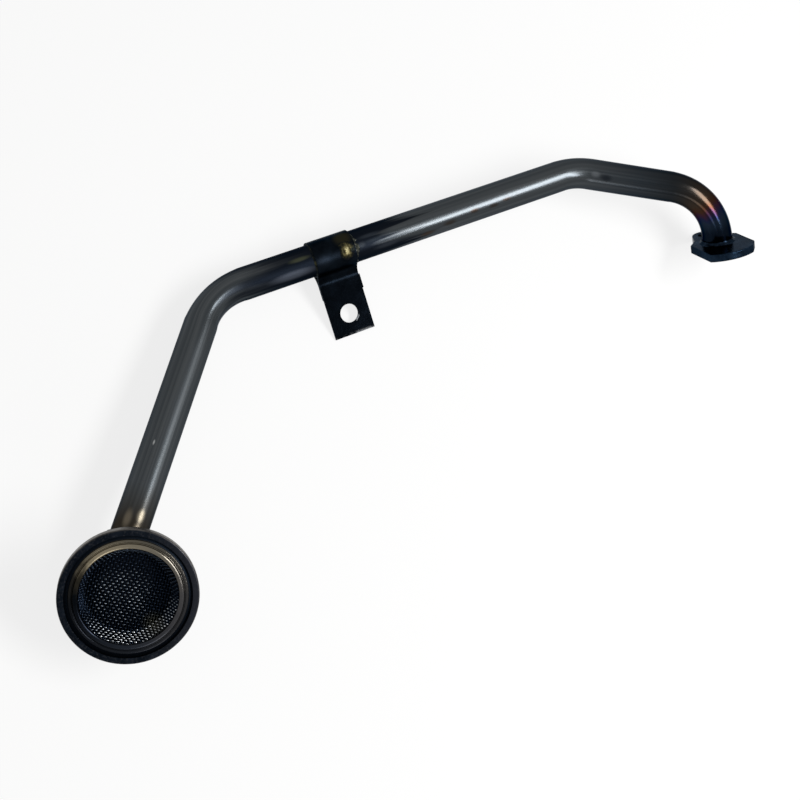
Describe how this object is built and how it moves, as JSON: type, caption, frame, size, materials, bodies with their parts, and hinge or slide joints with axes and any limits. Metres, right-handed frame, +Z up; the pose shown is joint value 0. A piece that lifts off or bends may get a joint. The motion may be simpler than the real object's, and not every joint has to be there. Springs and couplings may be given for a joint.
{
  "type": "oil pickup tube",
  "caption": "Bent steel oil pickup tube with a bolted flange at the pump end, a folded support strap, and a bell strainer that holds a dished wire screen.",
  "frame": {"origin": "centre of the oil port in the plane of the flange's mounting face", "axes": "+Z up as the part lies on a flat surface, +X along its longest way, from the strainer to the flange"},
  "size_m": [0.4095, 0.3109, 0.0558],
  "materials": {
    "tube_steel": "satin",
    "blackened_steel": "satin",
    "bell_steel": "satin",
    "ring_steel": "satin",
    "screen_wire": "satin",
    "braze": "matte"
  },
  "bodies": {
    "root": {"pickup_tube": "tube_steel", "mounting_flange": "blackened_steel", "support_strap": "blackened_steel", "strainer_bell": "bell_steel", "screen_ring": "ring_steel", "strainer_screen": "screen_wire", "flange_braze": "braze", "strap_braze": "braze", "bell_braze": "braze"}
  },
  "joints": []
}
